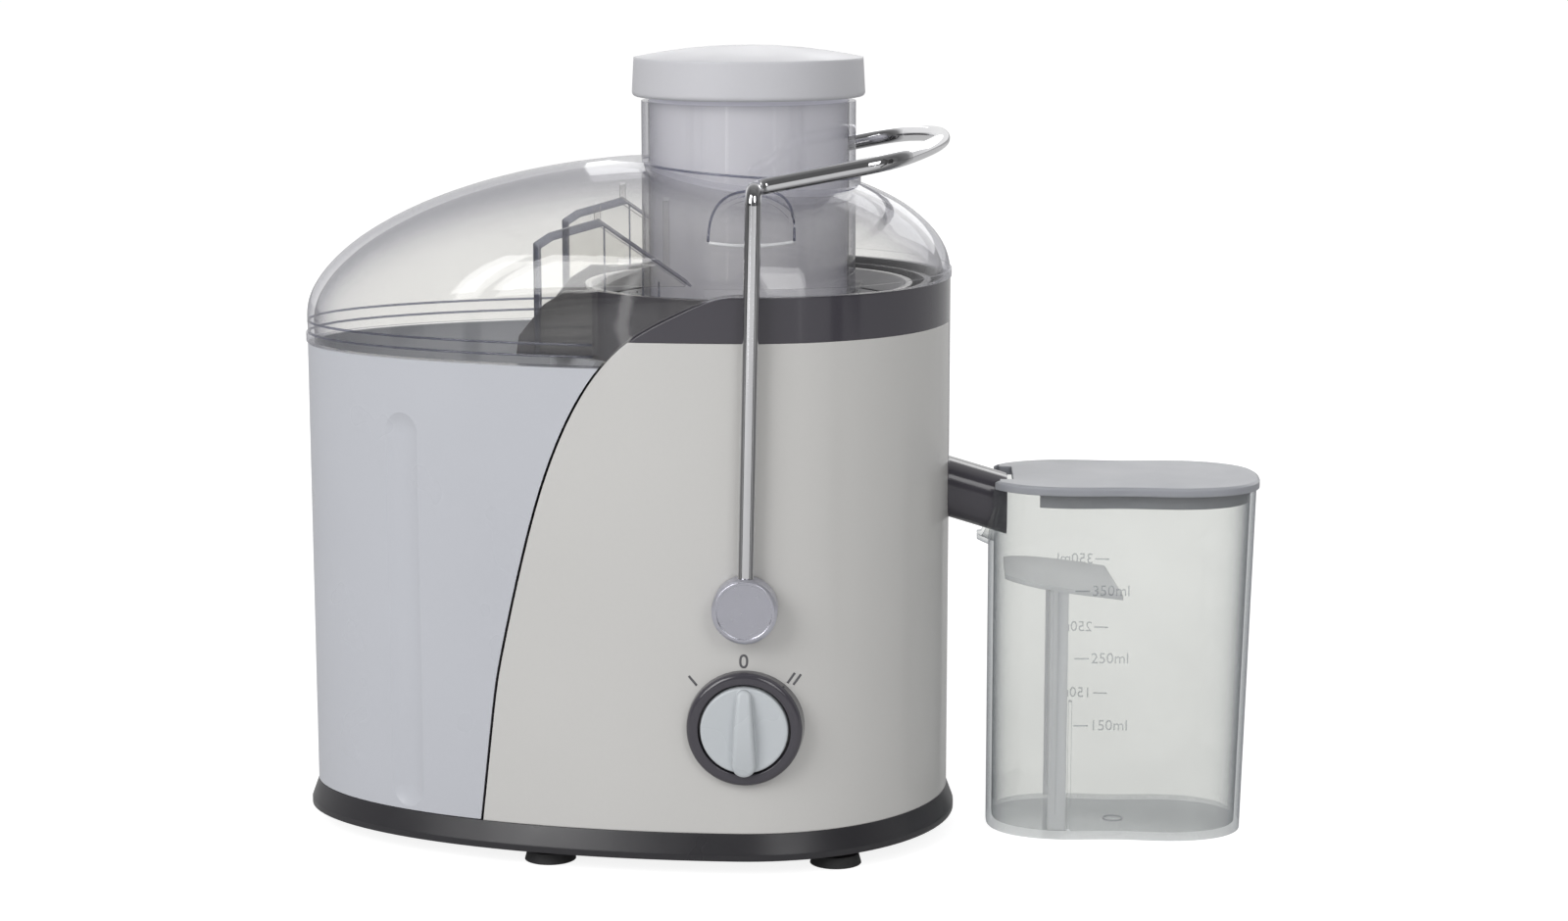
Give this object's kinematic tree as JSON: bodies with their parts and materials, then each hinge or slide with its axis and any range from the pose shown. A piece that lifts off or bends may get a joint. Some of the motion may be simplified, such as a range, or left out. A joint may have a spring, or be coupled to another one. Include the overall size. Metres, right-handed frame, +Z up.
{
  "type": "centrifugal juicer",
  "caption": "Upright centrifugal juicer: domed clear lid with feed chute and pusher, swing-over locking arm, pulp bin, speed knob and spouted juice jug.",
  "frame": {"origin": "bottom centre of the box round the juicer and its jug, on the surface they stand on", "axes": "+X from the pulp bin towards the juice jug, along the longest side; the control knob faces -Y; +Z up"},
  "size_m": [0.321, 0.151, 0.2625],
  "materials": {
    "cream_gloss": "glossy moulded ABS, warm cream",
    "bin_white": "smooth moulded ABS, cool white",
    "charcoal_gloss": "glossy dark grey",
    "charcoal_satin": "satin dark grey",
    "black_rubber": "matt moulded rubber",
    "black_plastic": "matt black phenolic or nylon",
    "nylon": "natural nylon",
    "clear_lid": "clear polished styrene acrylonitrile",
    "clear_jug": "clear polished styrene acrylonitrile",
    "frosted_clear": "translucent moulded plastic",
    "frosted_lid": "translucent grey polypropylene",
    "frosted_pusher": "frosted translucent plastic",
    "cap_white": "fine matt white polypropylene",
    "basket_plastic": "light grey moulded plastic",
    "knob_grey": "satin light grey",
    "chrome_rod": "bright chrome plate",
    "hub_chrome": "satin face with a bright rim",
    "zinc_steel": "zinc plated or ground steel",
    "lamination_steel": "stacked laminations",
    "copper_enamel": "enamelled copper wire",
    "sieve_steel": "etched stainless sheet",
    "carbon": "pressed carbon"
  },
  "bodies": {
    "body": {"base_plinth": "charcoal_satin", "foot_front_left": "black_rubber", "foot_front_right": "black_rubber", "foot_rear_left": "black_rubber", "foot_rear_right": "black_rubber", "foot_screws": "zinc_steel", "housing_screws": "zinc_steel", "motor_housing": "cream_gloss", "shaft_seal": "black_rubber", "juice_bowl": "charcoal_gloss", "feed_lid": "clear_lid", "arm_bush_front": "nylon", "arm_bush_rear": "nylon", "knob_ring": "charcoal_gloss", "rotary_switch": "black_plastic", "cord_inlet_bush": "black_rubber", "cord_clamp": "nylon", "clamp_screws": "zinc_steel", "terminal_block": "nylon", "interlock_switch": "black_plastic", "stator_core": "lamination_steel", "field_coil_left": "copper_enamel", "field_coil_right": "copper_enamel", "motor_bracket_lower": "zinc_steel", "motor_bracket_upper": "zinc_steel", "motor_dampers": "black_rubber", "bearing_lower": "zinc_steel", "bearing_upper": "zinc_steel", "motor_screws": "zinc_steel", "brush_holder_front": "black_plastic", "brush_holder_rear": "black_plastic", "carbon_brush_front": "carbon", "carbon_brush_rear": "carbon", "brush_springs": "zinc_steel"},
    "arm": {"locking_arm": "chrome_rod", "hub_cap_front": "hub_chrome", "hub_cap_rear": "hub_chrome", "pivot_pin_front": "zinc_steel", "pivot_pin_rear": "zinc_steel"},
    "pusher": {"pusher_body": "frosted_pusher", "pusher_cap": "cap_white"},
    "rotor": {"motor_shaft": "zinc_steel", "armature_core": "lamination_steel", "armature_winding": "copper_enamel", "commutator": "copper_enamel", "cooling_fan": "black_plastic", "drive_coupling": "nylon", "filter_basket": "basket_plastic", "filter_mesh": "sieve_steel", "grater_disc": "sieve_steel"},
    "knob": {"control_knob": "knob_grey", "knob_spindle": "nylon"},
    "bin": {"pulp_bin": "bin_white"},
    "jug": {"juice_jug": "clear_jug", "froth_separator": "frosted_clear"},
    "jug_cover": {"jug_lid": "frosted_lid"}
  },
  "joints": [
    {"name": "arm_swing", "type": "hinge", "parent": "body", "child": "arm", "pos_m": [-0.0073, 0, 0.0886], "axis": [0, 1, 0], "range_deg": [0, 45]},
    {"name": "pusher_slide", "type": "slide", "parent": "body", "child": "pusher", "axis": [0, 0, 1], "range_m": [0, 0.12]},
    {"name": "rotor_spin", "type": "hinge", "parent": "body", "child": "rotor", "pos_m": [-0.0101, 0, 0.1], "axis": [0, 0, 1], "continuous": true},
    {"name": "knob_turn", "type": "hinge", "parent": "body", "child": "knob", "pos_m": [-0.0077, -0.07, 0.0491], "axis": [0, 1, 0], "range_deg": [-46, 46]},
    {"name": "bin_slide", "type": "slide", "parent": "body", "child": "bin", "axis": [-1, 0, 0], "range_m": [0, 0.18]},
    {"name": "jug_slide", "type": "slide", "parent": "body", "child": "jug", "axis": [1, 0, 0], "range_m": [0, 0.1]},
    {"name": "jug_lid_lift", "type": "slide", "parent": "jug", "child": "jug_cover", "axis": [0, 0, 1], "range_m": [0, 0.06]}
  ]
}
